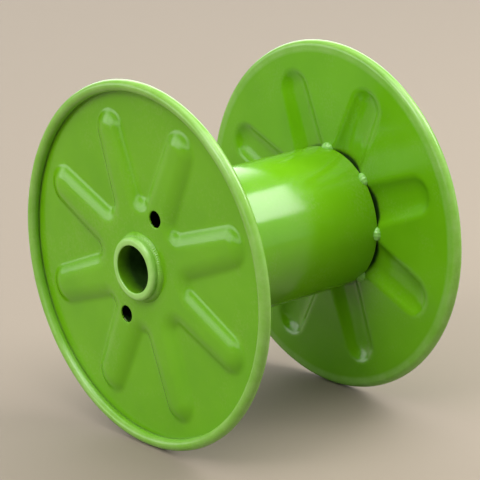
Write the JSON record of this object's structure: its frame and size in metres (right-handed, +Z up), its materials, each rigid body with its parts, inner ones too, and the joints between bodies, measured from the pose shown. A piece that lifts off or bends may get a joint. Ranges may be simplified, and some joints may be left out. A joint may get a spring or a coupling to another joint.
{
  "type": "cable reel",
  "caption": "Empty pressed-steel cable reel: barrel and hub tube between round flanges with radial ribs, curled rims and driving holes.",
  "frame": {"origin": "middle of the bore, halfway between the flanges", "axes": "+Y along the bore axis from the front flange to the back flange, +Z up, +X to the right seen from the front flange"},
  "size_m": [0.5, 0.375, 0.5],
  "materials": {
    "green_paint": "glossy yellow-green enamel on steel sheet"
  },
  "bodies": {
    "root": {"flange_front": "green_paint", "flange_back": "green_paint", "barrel": "green_paint", "hub_tube": "green_paint"}
  },
  "joints": []
}
